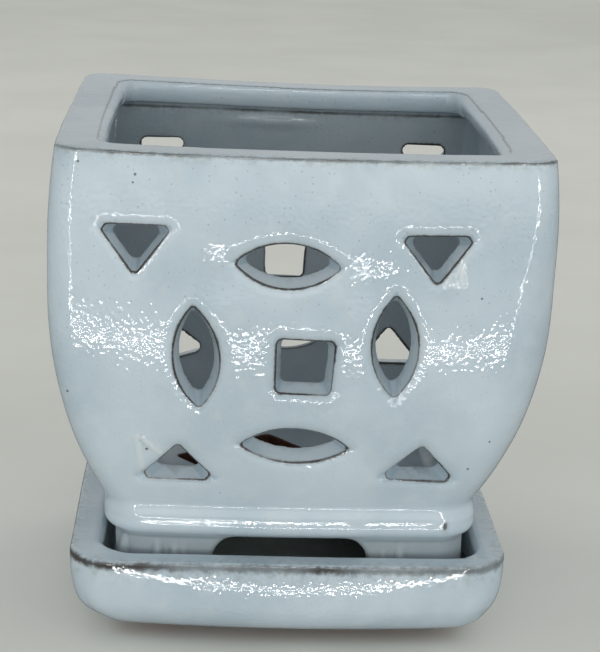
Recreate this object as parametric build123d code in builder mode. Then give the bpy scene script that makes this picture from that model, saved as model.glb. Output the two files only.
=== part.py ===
from build123d import *
from math import radians, sqrt, tan
import os

# A square, bellied orchid pot with pierced walls, standing in a square saucer.
# Millimetres, +Z up. The origin is on the table, under the middle of the saucer,
# and the front of the pot faces -Y.

# Saucer
saucer_foot_height = 4.0
saucer_foot_radius = 9.0
saucer_foot_edge = 1.5          # rounding round the tread of each foot
saucer_foot_inset = 33.0        # from the tray's side to the middle of a foot
tray_height = 26.8
tray_floor = 8.0
tray_rim_width = 9.5            # flat top of the tray's wall
tray_inner_lean = 2.0           # the inside widens this much on its way up
tray_outer_lean = 1.6           # and the outside this much
tray_corner = 16.0              # outer corners, seen from above
tray_inner_corner = 11.0
tray_foot_round = 15.0          # the wide rounding under the tray
tray_heel_round = 2.0           # where the inside meets the floor
tray_outer_edge = 1.4
tray_inner_edge = 2.2
standing_room = 2.5             # between the pot's feet and the tray's wall, at the floor

# Feet of the pot
foot_height = 23.5
foot_wall = 11.0
foot_corner = 9.0
foot_inner_corner = 6.0
arch_span = 50.0                # between two feet
arch_round = 9.0
foot_edge = 1.0                 # rounding round the tread of each foot

# Base slab, whose edge shows as a band
base_width = 118.6
base_thickness = 9.5
base_corner = 12.0
band_step = 1.6                 # how far the band stands out from the foot of the walls
band_round = 3.5                # lower edge of the band
drain_side = 41.0               # square drain, set diagonally
drain_turn = 38.5
drain_corner = 2.0
drain_shift_x = -9.5            # cut by hand, off the middle
drain_shift_y = -9.0

# Walls
wall_height = 109.5
wall_thickness = 9.0
belly_width = 154.0
belly_top_drop = 28.0           # upper and lower end of the upright belly, below the rim
belly_low_drop = 43.0
wall_corner = 8.0
wall_inner_corner = 5.0
side_bow = 1.5                  # each side swells this much between its corners

# Rim frame, laid on the walls
rim_width = 150.0
rim_height = 8.5
rim_breadth = 12.0              # flat top, from outside to opening
rim_outer_edge = 1.0
rim_inner_edge = 1.2
lip_under_edge = 2.0
opening_corner = 6.0

# Cut-outs, measured on the outer face; they narrow towards the inside
cut_taper = 12.0
upper_triangle_width = 23.0
lower_triangle_width = 25.0
triangle_height = 16.0
triangle_corner = 2.2
lens_length = 34.0
lens_breadth = 14.4
lower_lens_breadth = 13.0
square_side = 17.8
square_corner = 1.8
upper_triangle_drop = 31.0      # middle of each row, below the rim
upper_lens_drop = 34.0
middle_drop = 63.0
lower_lens_rise = 24.9          # and above the base slab
lower_triangle_rise = 19.0
upper_triangle_inset = 31.0     # from the side of the belly
side_lens_inset = 46.0
lower_triangle_inset = 21.3     # from the side of the base
cut_clearance = 7.0             # how far each cutter runs past the wall
cut_edge = 1.2                  # outer edges, wiped soft before firing

# Levels and half widths that follow from these
tray_bottom = saucer_foot_height
tray_floor_top = tray_bottom + tray_floor
tray_rim = tray_bottom + tray_height
base_bottom = tray_floor_top + foot_height
base_top = base_bottom + base_thickness
rim_bottom = base_top + wall_height
rim_top = rim_bottom + rim_height
belly_top = rim_top - belly_top_drop
belly_low = rim_top - belly_low_drop

rim_half = rim_width / 2
belly_half = belly_width / 2
base_half = base_width / 2
neck_half = base_half - band_step
foot_half = base_half - band_round
basin_half = foot_half + standing_room
basin_rim_half = basin_half + tray_inner_lean
tray_half = basin_rim_half + tray_rim_width
tray_low_half = tray_half - tray_outer_lean

loft_steps = 9
sides = {"front": 0, "right": 90, "back": 180, "left": 270}
corners = {"front_left": (-1, -1), "front_right": (1, -1), "back_right": (1, 1), "back_left": (-1, 1)}

os.makedirs("parts", exist_ok=True)


def arc_inset(rise, run, depth):
    """How far an arc that starts upright has come in after rise, if it comes in by depth over run."""
    radius = (run**2 + depth**2) / (2 * depth)
    return radius - sqrt(radius**2 - rise**2)


def half_width(height):
    """Half the pot's outer width near its corners: upright at the belly, arcs above and below."""
    if height > belly_top:
        return belly_half - arc_inset(height - belly_top, belly_top_drop, belly_half - rim_half)
    if height < belly_low:
        return belly_half - arc_inset(belly_low - height, belly_low - base_top, belly_half - neck_half)
    return belly_half


def plan_section(height, half, corner):
    """A square with bowed sides and rounded corners, lying at one height."""
    with BuildSketch(Plane.XY.offset(height)) as section:
        with BuildLine():
            ends = [(-half, -half), (half, -half), (half, half), (-half, half)]
            for start, end in zip(ends, ends[1:] + ends[:1]):
                SagittaArc(start, end, -side_bow)
        make_face()
        fillet(section.vertices(), corner)
    return section.sketch


def belly_sections(low, high, inset, corner):
    """Sections of the pot's bellied outside between two heights, or of its inside, inset by the wall."""
    heights = [low + (high - low) * step / (loft_steps - 1) for step in range(loft_steps)]
    return [plan_section(height, half_width(height) - inset, corner) for height in heights]


def side_plane(turn, distance, x=0.0, height=0.0, lean=0.0):
    """An upright plane facing out from one side, its x along that side and its y up."""
    upright = Plane.XZ.rotated((0, 0, turn)).offset(distance)
    return Plane(upright.location * Location((x, height, 0), (0, 0, lean)))


def lens_outline(plane, length, breadth, grow):
    """Two arcs meeting in points, grown evenly all round."""
    radius = (length**2 + breadth**2) / (4 * breadth)
    half_breadth = breadth / 2 + grow
    half_length = sqrt((radius + grow) ** 2 - (radius - breadth / 2) ** 2)
    with BuildSketch(plane) as outline:
        with BuildLine():
            ThreePointArc((-half_length, 0), (0, half_breadth), (half_length, 0))
            ThreePointArc((half_length, 0), (0, -half_breadth), (-half_length, 0))
        make_face()
    return outline.sketch


def triangle_outline(plane, width, height, grow):
    """A triangle on its base, with two equal sides and softened corners, grown evenly all round."""
    slope = sqrt((width / 2) ** 2 + height**2)
    inner_radius = width / 2 * height / (width / 2 + slope)
    scale = (inner_radius + grow) / inner_radius
    base = width * scale / 2
    low = inner_radius * (1 - scale) - height / 2
    with BuildSketch(plane) as outline:
        with BuildLine():
            Polyline((-base, low), (base, low), (0, low + height * scale), close=True)
        make_face()
        fillet(outline.vertices(), min(triangle_corner, (inner_radius + grow) / 2))
    return outline.sketch


def square_outline(plane, width, height, grow):
    """A square with softened corners, grown evenly all round."""
    with BuildSketch(plane) as outline:
        RectangleRounded(width + 2 * grow, height + 2 * grow, min(square_corner, width / 4 + grow / 2))
    return outline.sketch


# Nine cut-outs on each side: outline, its width and height, x along the side, height of its middle, turn
upper_x = belly_half - upper_triangle_inset
lens_x = belly_half - side_lens_inset
lower_x = base_half - lower_triangle_inset
upper_triangle = (triangle_outline, upper_triangle_width, triangle_height)
lower_triangle = (triangle_outline, lower_triangle_width, triangle_height)
lens = (lens_outline, lens_length, lens_breadth)
lower_lens = (lens_outline, lens_length, lower_lens_breadth)
square = (square_outline, square_side, square_side)
cut_outs = {
    "upper_left": (*upper_triangle, -upper_x, rim_top - upper_triangle_drop, 180),
    "upper_lens": (*lens, 0, rim_top - upper_lens_drop, 0),
    "upper_right": (*upper_triangle, upper_x, rim_top - upper_triangle_drop, 180),
    "left_lens": (*lens, -lens_x, rim_top - middle_drop, 90),
    "square": (*square, 0, rim_top - middle_drop, 0),
    "right_lens": (*lens, lens_x, rim_top - middle_drop, 90),
    "lower_left": (*lower_triangle, -lower_x, base_top + lower_triangle_rise, 0),
    "lower_lens": (*lower_lens, 0, base_top + lower_lens_rise, 0),
    "lower_right": (*lower_triangle, lower_x, base_top + lower_triangle_rise, 0),
}

# The walls were pierced by hand: how far along, up and out of true each cut-out went, and how much larger
hand_cut = {
    "front": {
        "upper_left": (-4.8, 0.6, 0.0, 0.0),
        "upper_lens": (-4.6, 0.0, -1.5, 0.0),
        "upper_right": (-5.7, -0.6, 1.5, 0.0),
        "left_lens": (-0.7, -0.7, 4.5, 0.0),
        "square": (1.4, -2.6, -2.0, 0.0),
        "right_lens": (-2.2, 4.0, 1.0, 0.0),
        "lower_lens": (-0.5, 0.0, -2.0, 0.0),
        "lower_left": (1.3, -0.6, 0.0, 0.0),
        "lower_right": (1.0, 0.5, -3.0, 0.0),
    },
    "back": {
        "upper_left": (-3.3, 3.3, 0.0, 0.85),
        "upper_right": (0.8, 2.9, 0.0, 0.85),
        "square": (0.4, -1.5, 1.0, 0.0),
        "lower_left": (-1.0, 3.8, 0.0, 0.75),
        "lower_right": (1.5, 3.8, -15.0, 0.75),
    },
}

# The walls as one ring, before they are parted and pierced
with BuildPart() as wall_ring:
    loft(belly_sections(base_top, rim_bottom, 0, wall_corner))
    loft(belly_sections(base_top, rim_bottom, wall_thickness, wall_inner_corner), mode=Mode.SUBTRACT)

# Four pierced wall slabs, mitred at the corners
for side, side_turn in sides.items():
    with BuildPart() as wall:
        add(wall_ring.part)
        split(bisect_by=side_plane(side_turn + 45, 0), keep=Keep.TOP)
        split(bisect_by=side_plane(side_turn - 45, 0), keep=Keep.TOP)
        for place, (outline, width, breadth, x, height, turn) in cut_outs.items():
            along, up, lean, larger = hand_cut.get(side, {}).get(place, (0, 0, 0, 0))
            face = half_width(height + up) + side_bow
            ends = []
            for depth in (cut_clearance, -wall_thickness - cut_clearance):
                plane = side_plane(side_turn, face + depth, x + along, height + up, turn + lean)
                ends.append(outline(plane, width, breadth, larger + depth * tan(radians(cut_taper))))
            loft(ends, ruled=True, mode=Mode.SUBTRACT)
        outward = side_plane(side_turn, 0).z_dir
        outer_faces = wall.faces().filter_by(lambda face: face.normal_at().dot(outward) > 0.5)
        outer_face = outer_faces.sort_by(SortBy.AREA)[-1]
        fillet([edge for wire in outer_face.inner_wires() for edge in wire.edges()], cut_edge)
    wall.part.label = f"wall_{side}"
    export_step(wall.part, f"parts/wall_{side}.step")

# Rim frame: its opening is narrower than the walls, so that it makes a lip inside
with BuildPart() as rim_frame:
    loft(belly_sections(rim_bottom, rim_top, 0, wall_corner))
    opening = plan_section(rim_bottom, rim_half - rim_breadth, opening_corner)
    extrude(opening, amount=rim_height, mode=Mode.SUBTRACT)
    fillet(rim_frame.faces().sort_by(Axis.Z)[-1].outer_wire().edges(), rim_outer_edge)
    fillet(rim_frame.faces().sort_by(Axis.Z)[-1].inner_wires()[0].edges(), rim_inner_edge)
    fillet(rim_frame.faces().sort_by(Axis.Z)[0].inner_wires()[0].edges(), lip_under_edge)
rim_frame.part.label = "rim_frame"
export_step(rim_frame.part, "parts/rim_frame.step")

# Base slab with its rounded band and the drain
with BuildPart() as base_slab:
    extrude(plan_section(base_bottom, base_half, base_corner), amount=base_thickness)
    fillet(base_slab.faces().sort_by(Axis.Z)[0].edges(), band_round)
    fillet(base_slab.faces().sort_by(Axis.Z)[-1].edges(), band_step)
    with BuildSketch(Plane.XY.offset(base_bottom)) as drain:
        with Locations((drain_shift_x, drain_shift_y)):
            RectangleRounded(drain_side, drain_side, drain_corner, rotation=drain_turn)
    extrude(amount=base_thickness, mode=Mode.SUBTRACT)
base_slab.part.label = "base_slab"
export_step(base_slab.part, "parts/base_slab.step")

# Four bracket feet: the corners of a square ring, arched between
for corner, (x_way, y_way) in corners.items():
    with BuildPart() as foot:
        extrude(plan_section(tray_floor_top, foot_half, foot_corner), amount=foot_height)
        inside = plan_section(tray_floor_top, foot_half - foot_wall, foot_inner_corner)
        extrude(inside, amount=foot_height, mode=Mode.SUBTRACT)
        for turn in (0, 90):
            with BuildSketch(side_plane(turn, 0)) as arch:
                with Locations((0, tray_floor_top)):
                    Rectangle(arch_span, foot_height, align=(Align.CENTER, Align.MIN))
                fillet(arch.vertices().group_by(Axis.Y)[-1], arch_round)
            extrude(amount=base_width, both=True, mode=Mode.SUBTRACT)
        split(bisect_by=Plane.YZ, keep=Keep.TOP if x_way > 0 else Keep.BOTTOM)
        split(bisect_by=Plane.XZ, keep=Keep.TOP if y_way < 0 else Keep.BOTTOM)
        fillet(foot.faces().sort_by(Axis.Z)[0].edges(), foot_edge)
    foot.part.label = f"pot_foot_{corner}"
    export_step(foot.part, f"parts/pot_foot_{corner}.step")

# Saucer tray
with BuildPart() as saucer_tray:
    for height, half in ((tray_bottom, tray_low_half), (tray_rim, tray_half)):
        with BuildSketch(Plane.XY.offset(height)):
            RectangleRounded(2 * half, 2 * half, tray_corner)
    loft()
    fillet(saucer_tray.faces().sort_by(Axis.Z)[0].edges(), tray_foot_round)
    for height, half in ((tray_floor_top, basin_half), (tray_rim, basin_rim_half)):
        with BuildSketch(Plane.XY.offset(height)):
            RectangleRounded(2 * half, 2 * half, tray_inner_corner)
    loft(mode=Mode.SUBTRACT)
    rim_face = saucer_tray.faces().sort_by(Axis.Z)[-1]
    fillet(rim_face.outer_wire().edges(), tray_outer_edge)
    rim_face = saucer_tray.faces().sort_by(Axis.Z)[-1]
    fillet(rim_face.inner_wires()[0].edges(), tray_inner_edge)
    basin_floor = saucer_tray.faces().filter_by(Axis.Z).sort_by(Axis.Z)[1]
    fillet(basin_floor.edges(), tray_heel_round)
saucer_tray.part.label = "saucer_tray"
export_step(saucer_tray.part, "parts/saucer_tray.step")

# Four low feet under the saucer
saucer_foot_offset = tray_half - saucer_foot_inset
for corner, (x_way, y_way) in corners.items():
    with BuildPart() as saucer_foot:
        with BuildSketch():
            with Locations((x_way * saucer_foot_offset, y_way * saucer_foot_offset)):
                Circle(saucer_foot_radius)
        extrude(amount=saucer_foot_height)
        fillet(saucer_foot.faces().sort_by(Axis.Z)[0].edges(), saucer_foot_edge)
    saucer_foot.part.label = f"saucer_foot_{corner}"
    export_step(saucer_foot.part, f"parts/saucer_foot_{corner}.step")
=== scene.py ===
import itertools
import math

import bpy
import numpy as np
from mathutils import Matrix, Vector


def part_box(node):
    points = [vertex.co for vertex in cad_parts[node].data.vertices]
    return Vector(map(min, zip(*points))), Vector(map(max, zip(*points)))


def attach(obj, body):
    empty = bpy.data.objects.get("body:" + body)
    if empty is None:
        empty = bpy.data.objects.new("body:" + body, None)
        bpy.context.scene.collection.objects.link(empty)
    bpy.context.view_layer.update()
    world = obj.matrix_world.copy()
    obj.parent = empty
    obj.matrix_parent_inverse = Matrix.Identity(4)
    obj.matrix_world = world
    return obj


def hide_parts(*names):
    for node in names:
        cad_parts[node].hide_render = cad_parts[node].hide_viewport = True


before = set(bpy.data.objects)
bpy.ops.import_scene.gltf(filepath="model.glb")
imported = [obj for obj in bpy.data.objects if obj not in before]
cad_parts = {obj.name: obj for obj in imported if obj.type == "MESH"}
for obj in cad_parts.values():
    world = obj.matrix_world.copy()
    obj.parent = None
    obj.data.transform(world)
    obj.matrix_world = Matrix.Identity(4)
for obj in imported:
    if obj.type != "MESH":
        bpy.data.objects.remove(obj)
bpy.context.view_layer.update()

# Sizes in millimetres, as the solids have them
tray_bottom, tray_rim = (1000 * corner[2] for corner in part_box("saucer_tray"))
tray_floor_top, base_bottom = (1000 * corner[2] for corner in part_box("pot_foot_front_left"))
base_top = 1000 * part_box("base_slab")[1][2]
rim_bottom, rim_top = (1000 * corner[2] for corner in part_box("rim_frame"))
rim_height = rim_top - rim_bottom
rim_half = 75.0
rim_breadth = 12.0
opening_corner = 6.0
side_bow = 1.5
belly_half = 77.0
belly_top = rim_top - 28.0
belly_low = rim_top - 43.0
neck_half = 57.7
wall_thickness = 9.0
wall_corner = 8.0
wall_inner_corner = 5.0
base_half = 59.3
base_corner = 12.0
foot_half = 55.8
foot_wall = 11.0
foot_corner = 9.0
foot_inner_corner = 6.0
arch_half = 25.0
arch_round = 9.0
drain_half = 20.5
drain_corner = 2.0
drain_middle = (-9.5, -9.0)
drain_turn = math.radians(38.5)
tray_half = 69.8
tray_corner = 16.0
tray_low_corner = 11.0
tray_inner_corner = 11.0
basin_half = 58.3
basin_rim_half = 60.3
cut_taper = math.tan(math.radians(12.0))

# Radii of edges and fillets
rim_round = 0.9
mouth_round = 1.1
lip_fillet = 1.4
shoulder_round = 1.5
floor_fillet = 4.0
neck_fillet = 3.6
band_over_round = 3.0
band_under_round = 4.6
drain_round = 0.7
foot_round = 1.5
foot_fillet = 1.6
arch_edge_round = 1.6
tread_round = 1.2
run_fillet = 0.9
arris_round = 0.45
tray_foot_round = 12.0
tray_rim_round = 1.0
basin_round = 2.0
basin_fillet = 2.0

# Corners of the cut-outs, how they grow with the taper, and the triangles' share of the taper
triangle_corner, triangle_growth, triangle_taper = 1.2, 0.9, 0.6
lens_tip, lens_growth = 0.4, 1.1
square_corner = 1.8

# What the hand and the kiln did
rim_sag = 1.2
rim_rise = 0.9
lip_crest = 3.2
lip_swell = 0.075
lip_flare = 0.3
lip_reach = 3.0
lip_corner_growth = 0.6
belly_corner = 6.0
dent_depth, dent_width = 1.3, 4.3
low_dent_depth, low_dent_width = 0.5, 3.2
lower_tilt, lower_level = 0.8, 80
scar_place, scar_radius = (49.2, -60.6, 40.9), 0.45
tray_shift, tray_lift, tray_lean = 0.8, 0.2, 0.0075
tray_swell, tray_corner_swell, tray_curve = 0.149, 0.13, 0.01

# How far the clay wanders: along by long and short swings, and up. Then length and phase of each swing
pot_wander = (0.45, 0.10, 0.35)
pot_swings = ((105, 0.4), (27, 1.9), (98, 2.2), (25, 0.7), (112, 3.1))
saucer_wander = (0.35, 0.08, 0.3)
saucer_swings = ((88, 1.2), (24, 0.3), (91, 0.5), (26, 2.4), (96, 2.0))

# What lies before front_y belongs to the front, what lies behind back_y to the back
front_y = -50
back_y = 50

pot_voxel = 0.8
pot_triangles = 190_000
saucer_voxel = 0.9
saucer_triangles = 60_000
batch = 500_000


def rounded_min(a, b, r):
    """Two forms joined, with a fillet of radius r where they meet."""
    return np.maximum(r, np.minimum(a, b)) - np.hypot(np.maximum(r - a, 0), np.maximum(r - b, 0))


def rounded_max(a, b, r):
    """What two forms share, with its edge rounded by r."""
    return np.minimum(-r, np.maximum(a, b)) + np.hypot(np.maximum(r + a, 0), np.maximum(r + b, 0))


def smooth(t):
    t = np.clip(t, 0, 1)
    return t * t * (3 - 2 * t)


def swing(x, y, z, length, phase):
    """A smooth swing between -1 and 1, about length from crest to crest."""
    k = 2 * math.pi / length
    return (
        np.sin(k * (0.86 * x + 0.37 * y + 0.29 * z) + phase)
        + np.sin(k * (-0.41 * x + 0.78 * y + 0.47 * z) + 2.3 * phase + 1.1)
        + np.sin(k * (0.24 * x - 0.52 * y + 0.83 * z) + 3.7 * phase + 2.9)
    ) / 3


def wandered(x, y, z, free, amounts, swings):
    """Points moved by the swings, as far as they are free."""
    far, near, up = amounts
    x_far, x_near, y_far, y_near, z_far = (swing(x, y, z, *each) for each in swings)
    return (
        x + free * (far * x_far + near * x_near),
        y + free * (far * y_far + near * y_near),
        z + free * up * z_far,
    )


def turned(u, v, angle):
    """Places seen in axes that are turned by angle."""
    c, s = math.cos(angle), math.sin(angle)
    return u * c + v * s, v * c - u * s


def past_corner(a, b, corner):
    """Distance to a rounded corner, a and b being how far a point is past the middle of its arc."""
    past = np.hypot(np.maximum(a, 0), np.maximum(b, 0))
    return past + np.minimum(np.maximum(a, b), 0) - corner


def plan(x, y, half, corner, bow):
    """Distance to an upright square prism with rounded corners and bowed sides."""
    past_x = np.abs(x) - bow * np.maximum(0, 1 - (y / half) ** 2) - half + corner
    past_y = np.abs(y) - bow * np.maximum(0, 1 - (x / half) ** 2) - half + corner
    return past_corner(past_x, past_y, corner)


def arc(rise, run, depth):
    """How far an arc, deep by depth over run, has come in after rise, and its slope there."""
    radius = (run**2 + depth**2) / (2 * depth)
    rise = np.clip(rise, 0, 1.1 * run)
    far = np.sqrt(radius**2 - rise**2)
    return radius - far, rise / far


def belly(z):
    """Half width of the walls near their corners at height z, and the cosine of their slope."""
    over, over_slope = arc(z - belly_top, rim_top - belly_top, belly_half - rim_half)
    under, under_slope = arc(belly_low - z, belly_low - base_top, belly_half - neck_half)
    return belly_half - over - under, 1 / np.sqrt(1 + (over_slope + under_slope) ** 2)


def lens(u, v, length, breadth, inset):
    radius = (length**2 + breadth**2) / (4 * breadth)
    far = radius - breadth / 2
    upper = np.hypot(u, v + far) - radius + inset
    lower = np.hypot(u, v - far) - radius + inset
    return rounded_max(upper, lower, lens_tip + lens_growth * np.maximum(inset, 0))


def triangle(u, v, width, height, inset):
    """Apex up, with its corners rounded."""
    base = width / 2
    inner = base * height / (base + math.hypot(base, height))
    inset = triangle_taper * inset
    corner = triangle_corner + triangle_growth * np.maximum(inset, 0)
    shrink = np.maximum(inner - inset - corner, 0.3) / inner
    base, tall = base * shrink, height * shrink
    u, v = np.abs(u), inner - height / 2 + (height - inner) * shrink - v
    share = np.clip((u * base + v * tall) / (base**2 + tall**2), 0, 1)
    to_side = np.hypot(u - base * share, v - tall * share)
    to_base = np.hypot(np.maximum(u - base, 0), v - tall)
    within = (u * tall < v * base) & (v < tall)
    return np.where(within, -1, 1) * np.minimum(to_side, to_base) - corner


def square(u, v, width, height, inset):
    return rounded_max(np.abs(u) - width / 2 + inset, np.abs(v) - height / 2 + inset, square_corner)


# Nine cut-outs on each side: outline, width, height, along the side, up, turn
upper_triangle = (triangle, 23.0, 15.4)
lower_triangle = (triangle, 26.0, 14.0)
cut_outs = {
    "upper_left": (*upper_triangle, -46.0, 132.0, 180),
    "upper_lens": (lens, 34.0, 14.4, 0.0, 129.0, 0),
    "upper_right": (*upper_triangle, 46.0, 132.0, 180),
    "left_lens": (lens, 34.0, 14.4, -31.0, 100.0, 90),
    "square": (square, 17.8, 17.8, 0.0, 100.0, 0),
    "right_lens": (lens, 34.0, 14.4, 31.0, 100.0, 90),
    "lower_left": (*lower_triangle, -38.0, 64.0, 0),
    "lower_lens": (lens, 34.0, 13.0, 0.0, 69.9, 0),
    "lower_right": (*lower_triangle, 38.0, 64.0, 0),
}
# How far along, up and out of true the hand cut each one, and how much larger, by the side's turn
front_turn = 0
hand_cut = {
    front_turn: {
        "upper_left": (-4.8, 0.9, 0.0, 0.0),
        "upper_lens": (-4.6, 0.3, -1.5, -0.3),
        "upper_right": (-5.7, -0.3, 1.5, 0.0),
        "left_lens": (-0.7, -0.7, 4.5, 0.0),
        "square": (1.4, -2.6, -2.0, 0.0),
        "right_lens": (-2.2, 4.0, 1.0, 0.0),
        "lower_lens": (-0.5, 0.0, -2.0, 0.0),
        "lower_left": (1.3, -1.1, 0.0, 0.0),
        "lower_right": (1.0, 0.0, -3.0, 0.0),
    },
    90: {},
    180: {
        "upper_left": (-3.3, 3.3, 0.0, 0.4),
        "upper_right": (0.8, 2.9, 0.0, 0.4),
        "square": (0.4, -1.5, 1.0, 0.0),
        "lower_left": (-1.0, 3.8, 0.0, 0.9),
        "lower_right": (3.0, 3.8, -15.0, 0.9),
    },
    270: {},
}
true_cut = (0.0, 0.0, 0.0, 0.0)


def dented(outline, u, v, angle, width, height, larger):
    """How far the face is wiped in beside a cut-out, more above it than below."""
    probe = 0.3
    edge = outline(u, v, width, height, -larger)
    above_u, above_v = u + probe * math.sin(angle), v + probe * math.cos(angle)
    above = outline(above_u, above_v, width, height, -larger)
    over = smooth((above - edge) / probe * 0.9 + 0.55)
    dent = over * dent_depth * (1 - np.clip(edge / dent_width, 0, 1)) ** 2
    return dent + (1 - over) * low_dent_depth * (1 - np.clip(edge / low_dent_width, 0, 1)) ** 2


def pierce(x, y, z):
    """Distance to the nearest cut-out's tapered sides, and how far the face dips beside it."""
    hole = np.full(x.shape, 99.0)
    dip = np.zeros(x.shape)
    for turn, cuts in hand_cut.items():
        c, s = math.cos(math.radians(turn)), math.sin(math.radians(turn))
        along, out = x * c + y * s, x * s - y * c
        for place, (outline, width, height, middle, level, lean) in cut_outs.items():
            shift, up, askew, larger = cuts.get(place, true_cut)
            u, v = along - middle - shift, z - level - up
            reach = max(width, height) / 2 + 9
            near = np.flatnonzero((out > 45) & (np.hypot(u, v) < reach))
            angle = math.radians(lean + askew)
            u, v = turned(u[near], v[near], angle)
            face = float(belly(np.array(level + up))[0]) + side_bow
            deep = (face - out[near]) * cut_taper
            rise = lower_tilt * deep if turn == front_turn and level < lower_level else 0.0
            low_u, low_v = u - rise * math.sin(angle), v - rise * math.cos(angle)
            side = outline(low_u, low_v, width, height, deep - larger)
            hole[near] = np.minimum(hole[near], side * math.cos(math.atan(cut_taper)))
            dent = dented(outline, u, v, angle, width, height, larger)
            dip[near] += dent * smooth((out[near] - face + 6) / 3)
    return hole, dip


def drain_sides(x, y):
    u, v = turned(x - drain_middle[0], y - drain_middle[1], drain_turn)
    return rounded_max(np.abs(u) - drain_half, np.abs(v) - drain_half, drain_corner)


def arch(u, z):
    """Distance to the opening between two feet."""
    return past_corner(np.abs(u) - arch_half + arch_round, z - base_bottom + arch_round, arch_round)


# Raised lines of clay and glaze on the front: x and z of both ends, height, width
ridges = [
    (-49.2, 72.3, -47.6, 60.8, 0.3, 0.9),
    (-47.6, 72.0, -41.6, 66.0, 0.3, 0.9),
    (47.0, 131.6, 48.0, 125.2, 0.4, 1.0),
    (43.9, 128.6, 43.2, 124.4, 0.3, 0.9),
    (45.5, 128.0, 45.9, 125.0, 0.3, 0.8),
]
# Places pressed in by a thumb: x, z, depth, width and height
presses = [
    (-24.5, 126.5, 1.5, 9.0, 9.0),
    (21.0, 123.0, 1.5, 13.0, 9.0),
]
# A low swelling inside the back wall where the rim was luted on: x, z, depth, width and height
inner_swelling = (-8.0, 149.0, 1.0, 17.0, 2.3)
# Runs of thick glaze down the front feet: x, y, middle height, half width and half length
runs = [
    (-42.4, -56.6, 26.4, 1.5, 5.6),
    (-37.0, -56.6, 27.6, 1.2, 3.6),
    (-34.2, -56.6, 25.8, 0.9, 4.6),
    (35.6, -56.6, 25.4, 1.6, 6.0),
    (30.0, -56.6, 27.6, 0.9, 2.8),
    (-53.0, -53.6, 27.5, 1.8, 6.4),
]


def mound(x, z, place):
    """Height of a soft mound given by its x, z, depth, width and height."""
    x0, z0, deep, width, height = place
    return deep * np.exp(-(((x - x0) / width) ** 2) - ((z - z0) / height) ** 2)


def raised(x, z):
    """How far the raised lines of the front stand out."""
    high = np.zeros(x.shape)
    for x0, z0, x1, z1, height, width in ridges:
        dx, dz = x1 - x0, z1 - z0
        share = np.clip(((x - x0) * dx + (z - z0) * dz) / (dx * dx + dz * dz), 0, 1)
        away = np.hypot(x - x0 - share * dx, z - z0 - share * dz) / width
        high = np.maximum(high, height * np.exp(-(away**2)))
    return high


def scarred(x, y, z):
    """Distance to the kiln scar on the band."""
    x0, y0, z0 = scar_place
    return np.sqrt((x - x0) ** 2 + (y - y0) ** 2 * 0.3 + ((z - z0) * 0.45) ** 2) - scar_radius


def pot_unsagged(x, y, z):
    """Where a point of the fired pot was in the pot as it was meant."""
    along = np.minimum(np.abs(x), np.abs(y)) / rim_half
    rise = rim_rise * smooth((y + 20) / 90) * (0.7 - 0.3 * x / rim_half)
    sag = (1 - np.minimum(along, 1) ** 2) * rim_sag - rise
    z = z + sag * smooth((z - 140) / 24)
    return wandered(x, y, z, smooth((z - 14) / 20), pot_wander, pot_swings)


def pot_feet(x, y, z):
    """Distance to the four feet with their runs of glaze."""
    outer = plan(x, y, foot_half, foot_corner, side_bow)
    inner = plan(x, y, foot_half - foot_wall, foot_inner_corner, side_bow)
    feet = rounded_max(outer, -inner, foot_round)
    for along in (x, y):
        feet = rounded_max(feet, -arch(along, z), arch_edge_round)
    feet = np.maximum(rounded_max(feet, tray_floor_top - z, tread_round), z - base_bottom - 3)
    low = np.flatnonzero((y < front_y + 2) & (z < base_bottom))
    for run_x, run_y, run_z, width, length in runs:
        up = (z[low] - run_z) * (width / length)
        away = np.sqrt((x[low] - run_x) ** 2 + (y[low] - run_y) ** 2 + up**2)
        feet[low] = rounded_min(feet[low], away - width, run_fillet)
    return feet


def pot_hollow(x, y, z, half, cosine):
    """Distances to the room inside the pot and to its mouth, which the lip narrows."""
    well = plan(x, y, half - wall_thickness, wall_inner_corner, side_bow) * cosine
    well = well + np.where(y > back_y, mound(x, z, inner_swelling), 0)
    well = rounded_max(well, base_top - z, floor_fillet)
    well = rounded_max(well, z - rim_bottom, shoulder_round)
    drop = np.minimum(rim_top - z, rim_height + 1)
    sideways = smooth((np.abs(x) - np.abs(y)) / 14 + 0.5)
    flare = np.where(drop < lip_crest, np.maximum(lip_flare * sideways, lip_swell), lip_swell)
    lip = rim_half - rim_breadth - lip_reach * sideways + flare * (lip_crest - drop) ** 2
    lip = plan(x, y, lip, opening_corner + lip_corner_growth * np.maximum(drop, 0), side_bow)
    return rounded_min(well, np.maximum(lip, rim_bottom - 3 - z), lip_fillet), lip


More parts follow.
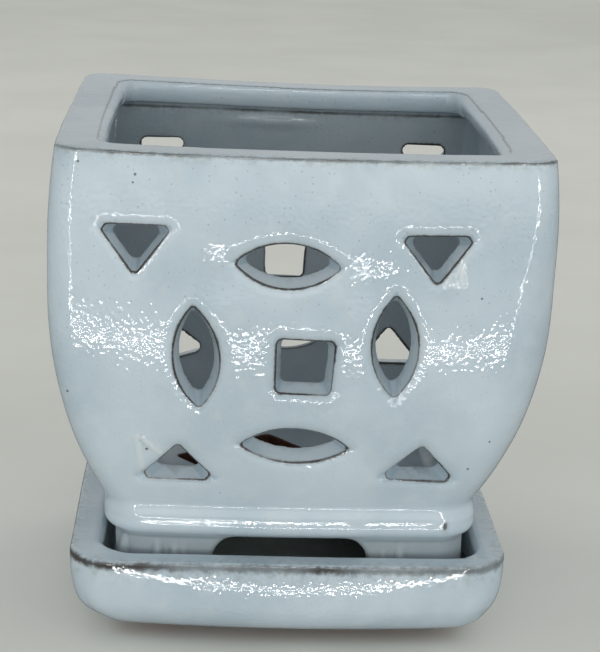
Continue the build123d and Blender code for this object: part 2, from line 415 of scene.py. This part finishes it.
def pot_parts(x, y, z):
    """Distances to the pot's skin, less than nothing in the clay, and to the forms that make it."""
    x, y, z = pot_unsagged(x, y, z)
    hole, dip = pierce(x, y, z)
    half, cosine = belly(z)
    corner = wall_corner + belly_corner * smooth((155 - z) / 45) * smooth(x / 40)
    outside = plan(x, y, half, corner, side_bow) * cosine + dip
    front = np.flatnonzero(y < front_y)
    pressed = sum(mound(x[front], z[front], place) for place in presses)
    outside[front] -= raised(x[front], z[front]) - pressed
    block = np.maximum(rounded_max(outside, z - rim_top, rim_round), base_top - 4 - z)
    band = plan(x, y, base_half, base_corner, side_bow)
    band = rounded_max(band, base_bottom - z, band_under_round)
    band = rounded_max(band, z - base_top, band_over_round)
    solid = rounded_min(block, band, neck_fillet)
    solid = rounded_min(solid, pot_feet(x, y, z), foot_fillet)
    hollow, lip = pot_hollow(x, y, z, half, cosine)
    solid = rounded_max(solid, -hollow, mouth_round)
    drain = drain_sides(x, y)
    solid = rounded_max(solid, -np.maximum(drain, z - base_top - 6), drain_round)
    solid = rounded_max(solid, -hole, arris_round)
    scar = scarred(x, y, z)
    within = np.abs(hollow) < np.abs(outside)
    edge = hole - np.where(within, np.abs(hollow) + 0.4, np.abs(outside))
    edge = np.minimum(edge, np.maximum(scar, 0))
    lip_edge = np.abs(np.where(lip > 0.3, lip, z - rim_top) + rim_height / 2) - rim_height / 2
    lip_edge = np.where(z > rim_bottom - 2, lip_edge, 2.0)
    return np.maximum(solid, -scar), edge, rim_top - z + outside, lip_edge, drain, hollow


def pot_field(x, y, z):
    return pot_parts(x, y, z)[0]


def saucer_parts(x, y, z):
    """Distance to the saucer's skin, and how far the outer edge of its rim is along it."""
    outer = smooth((np.maximum(np.abs(x), np.abs(y)) - basin_rim_half + 1) / 4)
    outer = outer * smooth((z - tray_bottom - 2) / 8)
    x, z = x + tray_shift * outer, z - outer * (tray_lift + tray_lean * x)
    x, y, z = wandered(x, y, z, smooth((z - tray_bottom - 1) / 8), saucer_wander, saucer_swings)
    drop = np.clip(tray_rim - z, 0, 30)
    swell = tray_swell - tray_corner_swell * (np.minimum(np.abs(x), np.abs(y)) / 55) ** 2
    corner = tray_corner + (tray_low_corner - tray_corner) * smooth(drop / 14)
    wall = plan(x, y, tray_half + swell * drop - tray_curve * drop**2, corner, 0) * 0.97
    outside = rounded_max(wall, tray_bottom - z, tray_foot_round)
    outside = rounded_max(outside, z - tray_rim, tray_rim_round)
    climb = (z - tray_floor_top) / (tray_rim - tray_floor_top)
    basin_width = basin_half + (basin_rim_half - basin_half) * climb
    basin = plan(x, y, basin_width, tray_inner_corner, 0)
    basin = rounded_max(basin, tray_floor_top - z, basin_fillet)
    return rounded_max(outside, -basin, basin_round), tray_rim - z + wall


def saucer_field(x, y, z):
    return saucer_parts(x, y, z)[0]


def slope(field, points, reach):
    """The field and its gradient at points."""
    gradient = np.empty_like(points)
    for axis in range(3):
        step = np.zeros(3)
        step[axis] = reach
        gradient[:, axis] = (field(*(points + step).T) - field(*(points - step).T)) / (2 * reach)
    return field(*points.T), gradient


def settle(field, points, turns):
    """Moves points onto the skin."""
    for _ in range(turns):
        distance, gradient = slope(field, points, 0.05)
        steep = np.maximum((gradient**2).sum(axis=1), 0.1)
        points = points - (np.clip(distance, -0.8, 0.8) / steep)[:, None] * gradient
    return points


def bend(field, points, reach=0.45):
    """How sharply the skin turns: above nothing on edges, below it in hollows."""
    total = -6 * field(*points.T)
    for axis in range(3):
        step = np.zeros(3)
        step[axis] = reach
        total += field(*(points + step).T) + field(*(points - step).T)
    return total / reach**2


def corners_of(cells, combine):
    """For each cell, what combine makes of its eight corners."""
    nx, ny, nz = (n - 1 for n in cells.shape)
    offsets = itertools.product((0, 1), repeat=3)
    return combine([cells[i : i + nx, j : j + ny, k : k + nz] for i, j, k in offsets])


def sampled(field, low, high, step):
    """The axes of a grid round a form, and the field there, worked out in full near the skin."""
    block = 4
    counts = [math.ceil((b - a + 4 * step) / (block * step)) for a, b in zip(low, high)]
    axes = [a - 2 * step + step * np.arange(block * n + 1) for a, n in zip(low, counts)]
    grid = np.meshgrid(*(a[::block] for a in axes), indexing="ij")
    value = field(*(g.ravel() for g in grid)).reshape(grid[0].shape)
    fine = corners_of(np.abs(value), np.minimum.reduce) < 1.3 * block * step
    for axis in range(3):
        value, fine = np.repeat(value, block, axis), np.repeat(fine, block, axis)
    value = value[tuple(slice(len(a)) for a in axes)].copy()
    wanted = np.zeros(value.shape, bool)
    nx, ny, nz = fine.shape
    for i, j, k in itertools.product((0, 1), repeat=3):
        wanted[i : i + nx, j : j + ny, k : k + nz] |= fine
    spots = np.argwhere(wanted)
    found = np.empty(len(spots))
    for start in range(0, len(spots), batch):
        part = spots[start : start + batch]
        found[start : start + batch] = field(*(axes[n][part[:, n]] for n in range(3)))
    value[wanted] = found
    return axes, value


def crossing_means(value, cells):
    """For each cell, the mean of the places where the skin crosses its edges, counted in cells."""
    total, hits = np.zeros((len(cells), 3)), np.zeros(len(cells))
    for axis in range(3):
        ahead = np.eye(3, dtype=int)[axis]
        for i, j in itertools.product((0, 1), repeat=2):
            corner = np.zeros(3, int)
            corner[(axis + 1) % 3], corner[(axis + 2) % 3] = i, j
            v0 = value[tuple((cells + corner).T)]
            v1 = value[tuple((cells + corner + ahead).T)]
            cross = (v0 < 0) != (v1 < 0)
            share = np.where(cross, v0 / np.where(cross, v0 - v1, 1), 0)
            total += np.where(cross[:, None], corner + share[:, None] * ahead, 0)
            hits += cross
    return cells + total / hits[:, None]


def crossing_quads(inside, number):
    """A quad round each edge of the grid that the skin crosses, from the four cells beside it."""
    quads = []
    for axis in range(3):
        one, two = np.eye(3, dtype=int)[(axis + 1) % 3], np.eye(3, dtype=int)[(axis + 2) % 3]
        first = np.moveaxis(inside, axis, 0)[:-1]
        last = np.moveaxis(inside, axis, 0)[1:]
        at = np.argwhere(np.moveaxis(first != last, 0, axis))
        ring = [number[tuple((at - shift).T)] for shift in (0 * one, one, one + two, two)]
        quad = np.stack(ring, axis=1)
        outward = inside[tuple(at.T)]
        quads.append(np.where(outward[:, None], quad, quad[:, ::-1]))
    return np.concatenate(quads)


def net(field, low, high, step):
    """A closed net of quads round the field, one point in each cell that the skin crosses."""
    axes, value = sampled(field, low, high, step)
    inside = value < 0
    count = corners_of(inside.astype(np.uint8), sum)
    active = (count > 0) & (count < 8)
    cells = np.argwhere(active)
    number = np.full(active.shape, -1, np.int64)
    number[active] = np.arange(len(cells))
    points = crossing_means(value, cells) * step + np.array([a[0] for a in axes])
    return points, crossing_quads(inside, number)


def even_out(field, points, quads, turns):
    """Slides points along the skin towards the middle of their neighbours."""
    start, end = quads.ravel(), np.roll(quads, -1, axis=1).ravel()
    links = np.bincount(start, minlength=len(points)) + np.bincount(end, minlength=len(points))
    for _ in range(turns):
        mean = np.empty_like(points)
        for axis in range(3):
            mean[:, axis] = np.bincount(start, points[end, axis], len(points))
            mean[:, axis] += np.bincount(end, points[start, axis], len(points))
        points = settle(field, points + 0.6 * (mean / links[:, None] - points), 1)
    return points


def placed(name, data):
    """A new object in the scene."""
    made = bpy.data.objects.new(name, data)
    bpy.context.scene.collection.objects.link(made)
    return made


def mesh_of(name, points, faces):
    mesh = bpy.data.meshes.new(name)
    sides = faces.shape[1]
    mesh.vertices.add(len(points))
    mesh.vertices.foreach_set("co", (points / 1000).astype(np.float32).ravel())
    mesh.loops.add(faces.size)
    mesh.loops.foreach_set("vertex_index", faces.astype(np.int32).ravel())
    mesh.polygons.add(len(faces))
    mesh.polygons.foreach_set("loop_start", np.arange(0, faces.size, sides, dtype=np.int32))
    mesh.update(calc_edges=True)
    return mesh


def thinned(name, points, quads, triangles):
    """A mesh of about that many triangles in place of a net of quads."""
    rough_mesh = mesh_of(name + "_rough", points, quads)
    rough = placed(name + "_rough", rough_mesh)
    thin = rough.modifiers.new("thin", "DECIMATE")
    thin.ratio = min(1, triangles / (2 * len(quads)))
    thin.use_collapse_triangulate = True
    ready = rough.evaluated_get(bpy.context.evaluated_depsgraph_get())
    mesh = bpy.data.meshes.new_from_object(ready)
    bpy.data.objects.remove(rough)
    bpy.data.meshes.remove(rough_mesh)
    mesh.name = name
    return mesh


def skin(name, field, low, high, step, triangles, marks):
    """A closed skin of about that many triangles round a field, with its marks for the glaze."""
    points, quads = net(field, low, high, step)
    points = even_out(field, settle(field, points, 2), quads, 2)
    mesh = thinned(name, points, quads, triangles)
    points = np.empty(3 * len(mesh.vertices))
    mesh.vertices.foreach_get("co", points)
    points = settle(field, 1000 * points.reshape(-1, 3), 2)
    mesh.vertices.foreach_set("co", (points / 1000).astype(np.float32).ravel())
    gradient = slope(field, points, 0.08)[1]
    gradient /= np.linalg.norm(gradient, axis=1)[:, None]
    mesh.polygons.foreach_set("use_smooth", np.ones(len(mesh.polygons), bool))
    mesh.update()
    mesh.normals_split_custom_set_from_vertices(gradient.tolist())
    for mark, amount in marks(points).items():
        layer = mesh.attributes.new(mark, "FLOAT", "POINT")
        layer.data.foreach_set("value", amount.astype(np.float32))
    return placed(name, mesh)


# How much painted shade darkens the glaze inside the back and front walls, the side walls, the feet
# and their outsides
painted_wall_shade, painted_side_wall_shade = 0.36, 0.16
painted_foot_shade, painted_foot_face_shade = 0.85, 0.52


def pot_marks(points):
    """What the glaze has to know at each point: bends, bare clay, nearest edges and how much painted
    shade darkens it.
    """
    x, y, z = points.T
    spread = np.maximum(np.abs(x), np.abs(y))
    _, edge, brim, lip_edge, drain, hollow = pot_parts(x, y, z)
    cut = smooth((0.9 - drain) / 0.8) * smooth((base_top + 0.4 - z) / 0.8)
    tread = smooth((tray_floor_top + 1.4 - z) / 0.9)
    under = smooth((base_bottom + 0.8 - z) / 0.8) * smooth((foot_half - 3 - spread) / 2)
    # Painted shade inside the pot, lighter on the side walls
    sideways = smooth((np.abs(x) - np.abs(y)) / 20)
    painted_inside_shade = painted_wall_shade + (painted_side_wall_shade - painted_wall_shade) * sideways
    painted_inside_shade = painted_inside_shade * smooth((1.2 - np.abs(hollow)) / 0.8) * smooth((rim_bottom - z) / 2)
    # Painted shade on the feet, lighter on their outer faces
    outer_face = smooth((spread - foot_half + 6) / 3)
    feet = painted_foot_shade + (painted_foot_face_shade - painted_foot_shade) * outer_face
    feet = feet * smooth((base_bottom + 1 - z) / 2)
    return {
        "bend": bend(pot_field, points),
        "bare": np.maximum(np.maximum(cut, tread), under),
        "arris": edge,
        "brim": brim,
        "lip": np.clip(lip_edge, -2, 2),
        "calm": smooth((base_top + 5 - z) / 3),
        "pale": np.where(y < front_y, np.minimum(1, 3 * raised(x, z)), 0),
        # Painted shade inside the pot and on the feet
        "painted_shade": np.maximum(painted_inside_shade, feet),
    }


def saucer_marks(points):
    """The same for the saucer, which has no cut-outs, lip or raised lines."""
    x, y, z = points.T
    spread = np.maximum(np.abs(x), np.abs(y))
    return {
        "bend": bend(saucer_field, points),
        "bare": smooth((tray_bottom + 1.0 - z) / 0.8),
        "arris": np.full(len(points), 9.0),
        "brim": saucer_parts(x, y, z)[1],
        "lip": np.full(len(points), 2.0),
        "calm": smooth((np.minimum(np.abs(x), np.abs(y)) - 22) / 20),
        "pale": np.zeros(len(points)),
        # Painted shade on the saucer's floor under the pot
        "painted_shade": smooth((basin_half - 1 - spread) / 4) * smooth((22 - z) / 8),
    }


pot_reach = belly_half + side_bow + 2
pot = skin(
    "pot_skin",
    pot_field,
    (-pot_reach, -pot_reach, tray_floor_top - 1),
    (pot_reach, pot_reach, rim_top + 1),
    pot_voxel,
    pot_triangles,
    pot_marks,
)
pot_nodes = [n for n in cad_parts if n.startswith(("wall_", "pot_foot_", "rim_", "base_"))]
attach(pot, "pot")
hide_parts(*pot_nodes)

saucer_reach = tray_half + 2
saucer = skin(
    "saucer_skin",
    saucer_field,
    (-saucer_reach, -saucer_reach, tray_bottom - 1),
    (saucer_reach, saucer_reach, tray_rim + 1),
    saucer_voxel,
    saucer_triangles,
    saucer_marks,
)
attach(saucer, "saucer")
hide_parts("saucer_tray")


def linear(level):
    """A level as a screen shows it, 0 to 255, in linear light."""
    return level / 255 / 12.92 if level < 10.3 else ((level / 255 + 0.055) / 1.055) ** 2.4


def srgb(*levels):
    return tuple(linear(level) for level in levels) + (1.0,)


class Graph:
    """The nodes of a material or of the world, made one call each."""

    def __init__(self, owner):
        owner.use_nodes = True
        self.owner = owner
        self.tree = owner.node_tree
        self.tree.nodes.clear()
        self.coordinates = self.node("ShaderNodeTexCoord").outputs

    def node(self, kind, **settings):
        made = self.tree.nodes.new(kind)
        for name, value in settings.items():
            setattr(made, name, value)
        return made

    def feed(self, socket, value):
        if isinstance(value, bpy.types.NodeSocket):
            self.tree.links.new(value, socket)
        else:
            socket.default_value = value

    def end(self, kind, shader):
        self.tree.links.new(shader.outputs[0], self.node(kind).inputs[0])
        return self.owner

    def noise(self, size, detail=2.0, rough=0.5):
        """Noise whose lumps are about size millimetres across."""
        made = self.node("ShaderNodeTexNoise")
        self.feed(made.inputs["Vector"], self.coordinates["Object"])
        made.inputs["Scale"].default_value = 1000 / size
        made.inputs["Detail"].default_value = detail
        made.inputs["Roughness"].default_value = rough
        return made.outputs["Fac"]

    def cells(self, size):
        """Distance to the nearest of many points about size millimetres apart, and its colour."""
        made = self.node("ShaderNodeTexVoronoi")
        self.feed(made.inputs["Vector"], self.coordinates["Object"])
        made.inputs["Scale"].default_value = 1000 / size
        return made.outputs["Distance"], made.outputs["Color"]

    def mark(self, name):
        return self.node("ShaderNodeAttribute", attribute_name=name).outputs["Fac"]

    def split(self, vector):
        made = self.node("ShaderNodeSeparateXYZ")
        self.feed(made.inputs[0], vector)
        return made.outputs

    def math(self, kind, a, b=0.0):
        made = self.node("ShaderNodeMath", operation=kind)
        for socket, value in zip(made.inputs, (a, b)):
            self.feed(socket, value)
        return made.outputs[0]

    def plus(self, a, b):
        return self.math("ADD", a, b)

    def minus(self, a, b):
        return self.math("SUBTRACT", a, b)

    def times(self, a, b):
        return self.math("MULTIPLY", a, b)

    def size_of(self, a):
        return self.math("ABSOLUTE", a)

    def step(self, value, low, high, to_low=0.0, to_high=1.0):
        """A smooth step from to_low at low to to_high at high."""
        made = self.node("ShaderNodeMapRange", interpolation_type="SMOOTHSTEP")
        for socket, amount in zip(made.inputs, (value, low, high, to_low, to_high)):
            self.feed(socket, amount)
        return made.outputs[0]

    def mix(self, share, a, b):
        made = self.node("ShaderNodeMix", data_type="RGBA")
        self.feed(made.inputs[0], share)
        self.feed(made.inputs[6], a)
        self.feed(made.inputs[7], b)
        return made.outputs[2]

    def bump(self, height, distance, normal=None, strength=1.0):
        """A bump of distance millimetres."""
        made = self.node("ShaderNodeBump")
        self.feed(made.inputs["Strength"], strength)
        made.inputs["Distance"].default_value = distance / 1000
        self.feed(made.inputs["Height"], height)
        if normal:
            self.feed(made.inputs["Normal"], normal)
        return made.outputs[0]

    def finish(self, color, rough, normal, gloss=0.5):
        shader = self.node("ShaderNodeBsdfPrincipled")
        shader.inputs["Specular IOR Level"].default_value = gloss
        self.feed(shader.inputs["Base Color"], color)
        self.feed(shader.inputs["Roughness"], rough)
        self.feed(shader.inputs["Normal"], normal)
        return self.end("ShaderNodeOutputMaterial", shader)


glaze_deep, glaze_light = srgb(177, 192, 201), srgb(191, 204, 212)
glaze_cloud, glaze_pale = srgb(200, 209, 213), srgb(214, 219, 219)
# Pooled glaze, and the colour of painted shade inside the pot, on its feet and on the saucer's floor
glaze_pool, painted_shade_color = srgb(150, 172, 186), srgb(62, 71, 66)
speck_brown, spot_brown = srgb(92, 84, 76), srgb(74, 60, 50)
edge_grey, edge_brown = srgb(120, 118, 112), srgb(48, 42, 37)
lip_brown, stain_grey = srgb(70, 66, 60), srgb(128, 126, 110)
pot_line_brown, saucer_line_brown = srgb(70, 67, 60), srgb(46, 39, 33)
clay_dark, clay_red, clay_toasted = srgb(70, 40, 28), srgb(100, 60, 42), srgb(118, 78, 56)
floor_grey, floor_pale = srgb(226, 225, 218), srgb(231, 230, 223)
sky_white = srgb(252, 255, 255)

# Specks of iron large enough to know by their place on the front: x, z and radius
iron_spots = [
    (-50.8, 155.6, 0.55),
    (-67.6, 158.8, 0.5),
    (-51.4, 153.2, 0.4),
    (54.2, 62.9, 0.5),
    (53.7, 120.9, 0.45),
    (-70.5, 86.9, 0.5),
    (60.0, 73.1, 0.45),
    (-46.2, 68.0, 0.6),
]


def specks(g, size, share, radius):
    """Round specks, one in some of the cells of that size, up to radius cells wide."""
    distance, color = g.cells(size)
    lot = g.split(color)[0]
    reach = g.step(lot, 1 - share, 1.0, 0.4 * radius, radius)
    inside = g.step(g.minus(reach, distance), -0.3 * radius, 0.3 * radius)
    return g.times(inside, g.math("GREATER_THAN", lot, 1 - share))


def clay_color(g):
    """Iron-bearing stoneware, toasted where the glaze ends."""
    color = g.mix(g.step(g.noise(1.2, 3.0, 0.6), 0.35, 0.65), clay_dark, clay_red)
    return g.mix(g.step(g.noise(9, 3.0, 0.6), 0.5, 0.75, 0.0, 0.4), color, clay_toasted)


def glaze_color(g):
    """Blue-white with clouds, paler over raised clay and deeper where the glaze pools."""
    color = g.mix(g.step(g.noise(38, 3.0, 0.55), 0.35, 0.65), glaze_deep, glaze_light)
    color = g.mix(g.step(g.noise(9, 4.0, 0.6), 0.45, 0.72, 0.0, 0.4), color, glaze_cloud)
    color = g.mix(g.times(g.mark("pale"), 0.6), color, glaze_pale)
    return g.mix(g.times(g.step(g.mark("bend"), -0.08, -0.6), 0.5), color, glaze_pool)


def speckled(g, color):
    """Small specks, most of them near the rim, a few large ones, and the front's iron spots."""
    x, y, z = g.split(g.coordinates["Object"])
    small = g.times(specks(g, 1.6, 0.6, 0.17), g.step(z, 0.05, 0.14, 0.06, 0.34))
    large = g.times(specks(g, 11, 0.12, 0.05), 0.6)
    color = g.mix(g.math("MAXIMUM", small, large), color, speck_brown)
    on_front = g.math("LESS_THAN", y, front_y / 1000)
    for spot_x, spot_z, radius in iron_spots:
        across = g.math("POWER", g.plus(x, -spot_x / 1000), 2.0)
        away = g.plus(across, g.math("POWER", g.plus(z, -spot_z / 1000), 2.0))
        spot = g.step(away, (0.5 * radius / 1000) ** 2, (radius / 1000) ** 2, 0.8, 0.0)
        color = g.mix(g.times(spot, on_front), color, spot_brown)
    return color


def broken_edges(g, color, uneven, jitter):
    """The edges of the cut-outs, where the glaze runs thin: a grey halo and a brown line."""
    edge = g.plus(g.size_of(g.mark("arris")), g.times(jitter, 0.7))
    color = g.mix(g.step(edge, 1.8, 0.2, 0.0, 0.22), color, edge_grey)
    line = g.step(edge, g.step(uneven, 0.0, 1.0, 0.5, 0.95), 0.2)
    return g.mix(g.times(line, g.step(uneven, 0.0, 0.5, 0.6, 0.95)), color, edge_brown)


def lined_rim(g, color, uneven, jitter, width, line_color, share):
    """Stains and a ragged brown line below the brim's edge, and thin lines along the lip."""
    brim = g.size_of(g.minus(g.mark("brim"), 0.8 * width))
    stain = g.step(g.noise(2.6, 3.0, 0.6), 0.42, 0.68, 0.0, 0.32)
    color = g.mix(g.times(g.step(brim, 5 * width, width), stain), color, stain_grey)
    lip = g.plus(g.size_of(g.mark("lip")), g.times(jitter, 0.8))
    color = g.mix(g.step(lip, 0.6, 0.2, 0.0, 0.6), color, lip_brown)
    ragged = g.times(g.minus(g.noise(3.5, 4.0, 0.7), 0.5), 2.2 * width)
    line = g.step(g.plus(brim, ragged), 1.5 * width, 0.2 * width)
    return g.mix(g.times(line, g.step(uneven, 0.0, 1.0, 0.6 * share, share)), color, line_color)


def glaze_material(name, line_width, line_color, line_share):
    """Glossy, finely rippled glaze that breaks brown on edges, leaves some clay bare and is darkened
    by painted shade where the marks ask for it.
    """
    g = Graph(bpy.data.materials.new(name))
    uneven = g.step(g.noise(22, 2.0, 0.5), 0.3, 0.7)
    jitter = g.minus(g.noise(1.6, 3.0, 0.65), 0.5)
    # Painted shade: the glaze darkened, with a slow mottle, towards the shade colour where the marks
    # say
    painted_shade = g.times(g.mark("painted_shade"), g.step(g.noise(14, 3.0, 0.6), 0.2, 0.7, 1.0, 0.93))
    color = speckled(g, g.mix(painted_shade, glaze_color(g), painted_shade_color))
    color = broken_edges(g, color, uneven, jitter)
    color = lined_rim(g, color, uneven, jitter, line_width, line_color, line_share)
    bare = g.plus(g.mark("bare"), g.times(g.minus(g.noise(4, 3.0), 0.5), 0.5))
    bare = g.step(bare, 0.45, 0.6)
    color = g.mix(bare, color, clay_color(g))
    z = g.split(g.coordinates["Object"])[2]
    dull = g.times(g.step(painted_shade, 0.1, 0.3), g.step(z, 0.14, 0.128))
    rough = g.step(g.noise(5, 3.0, 0.6), 0.3, 0.7, 0.045, 0.09)
    rough = g.plus(rough, g.times(g.math("MAXIMUM", bare, dull), 0.5))
    ripple = g.step(g.mark("calm"), 0.0, 1.0, 1.0, 0.3)
    normal = g.bump(g.noise(1.35, 0.0), 0.1, strength=ripple)
    return g.finish(color, rough, g.bump(g.noise(0.8, 0.0), 0.015, normal))


def clay_material():
    g = Graph(bpy.data.materials.new("bare_clay"))
    rough = g.step(g.noise(3, 2.0), 0.3, 0.7, 0.68, 0.86)
    return g.finish(clay_color(g), rough, g.bump(g.noise(0.9, 3.0, 0.6), 0.12))


def floor_material():
    g = Graph(bpy.data.materials.new("pale_floor"))
    color = g.mix(g.step(g.noise(120, 3.0), 0.3, 0.7), floor_grey, floor_pale)
    return g.finish(color, 0.9, g.bump(g.noise(2, 2.0), 0.01), gloss=0.0)


clay = clay_material()
for piece, glaze in (
    (pot, glaze_material("pot_glaze", 0.7, pot_line_brown, 0.85)),
    (saucer, glaze_material("saucer_glaze", 1.6, saucer_line_brown, 0.95)),
):
    piece.data.materials.clear()
    piece.data.materials.append(glaze)
for name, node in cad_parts.items():
    if name.startswith("saucer_foot"):
        for slot in node.material_slots:
            slot.material = clay

# The stage, in metres from here on: floor, sky, lamps and camera
floor_half = 4
floor_mesh = bpy.data.meshes.new("floor")
floor_mesh.from_pydata(
    [(x * floor_half, y * floor_half, 0) for x, y in ((-1, -1), (1, -1), (1, 1), (-1, 1))],
    [],
    [(0, 1, 2, 3)],
)
floor = placed("floor", floor_mesh)
floor.data.materials.append(floor_material())
floor.visible_glossy = False
floor.visible_shadow = False

# A sky that is brightest low in front, with little light from under the floor
base_light = 0.55
world = bpy.data.worlds.new("studio")
bpy.context.scene.world = world
sky = Graph(world)
_, toward_back, toward_top = sky.split(sky.coordinates["Generated"])
front_light = sky.step(toward_back, 0.1, -0.95)
low_light = sky.step(toward_top, 0.2, 0.6, 0.8, 0.0)
light = sky.plus(sky.times(front_light, low_light), base_light)
background = sky.node("ShaderNodeBackground")
sky.feed(background.inputs["Color"], sky_white)
sky.feed(background.inputs["Strength"], sky.times(light, sky.step(toward_top, -0.15, 0.0, 0.25, 1.0)))
sky.end("ShaderNodeOutputWorld", background)


def lamp(name, at, size, radiance, turn=0.0, heading=0.0):
    """A lamp that faces the back, or heading degrees to the left of it."""
    data = bpy.data.lights.new(name, "AREA")
    data.shape = "RECTANGLE"
    data.size, data.size_y = size
    data.energy = radiance * math.pi * size[0] * size[1]
    made = placed(name, data)
    upright = Matrix.Rotation(math.radians(90), 4, "X") @ Matrix.Rotation(turn, 4, "Z")
    facing = Matrix.Rotation(math.radians(heading), 4, "Z")
    made.matrix_world = Matrix.Translation(at) @ facing @ upright
    made.visible_camera = False
    return made


# A ring light round the camera, whose shine follows the belly and the band
ring_x, ring_y, ring_z = 0.044, -1.08, 0.13
ring_radius, ring_width, ring_lamps, ring_radiance = 0.58, 0.025, 24, 45
ring_piece = (ring_radius * 2 * math.pi / ring_lamps, ring_width)
for number in range(ring_lamps):
    turn = 2 * math.pi * number / ring_lamps
    at = (ring_x + ring_radius * math.cos(turn), ring_y, ring_z + ring_radius * math.sin(turn))
    piece = lamp("ring", at, ring_piece, ring_radiance, turn + math.pi / 2)
    piece.visible_diffuse = False

# Soft light from the front, and from both sides of the back
fills = [lamp("front_fill", (0, -1.1, 0.16), (0.9, 0.3), 3.4)]
for side in (-1, 1):
    fills.append(lamp("back_fill", (1.2 * side, 0.9, 0.4), (0.6, 0.5), 3.2, heading=127 * side))
for fill in fills:
    fill.visible_glossy = False

# The photo's camera: focal length and height of the picture in pixels, place and turns
focal_px, photo_height_px, sensor_mm = 1995, 652, 36
camera_place = (-0.0274, -0.6558, 0.2656)
pitch, yaw, roll = (math.radians(a) for a in (14.96, 2.65, 2.2))
sight = bpy.data.cameras.new("camera")
sight.sensor_width = sensor_mm
sight.lens = focal_px * sensor_mm / photo_height_px
camera = placed("camera", sight)
level_forward = Vector((math.sin(yaw), math.cos(yaw), 0))
forward = math.cos(pitch) * level_forward - math.sin(pitch) * Vector((0, 0, 1))
right = Vector((math.cos(yaw), -math.sin(yaw), 0))
up = right.cross(forward)
across = math.cos(roll) * right + math.sin(roll) * up
upward = math.cos(roll) * up - math.sin(roll) * right
pose = Matrix((across, upward, -forward)).transposed().to_4x4()
pose.translation = camera_place
camera.matrix_world = pose
bpy.context.scene.camera = camera

bpy.context.scene.view_settings.view_transform = "Standard"
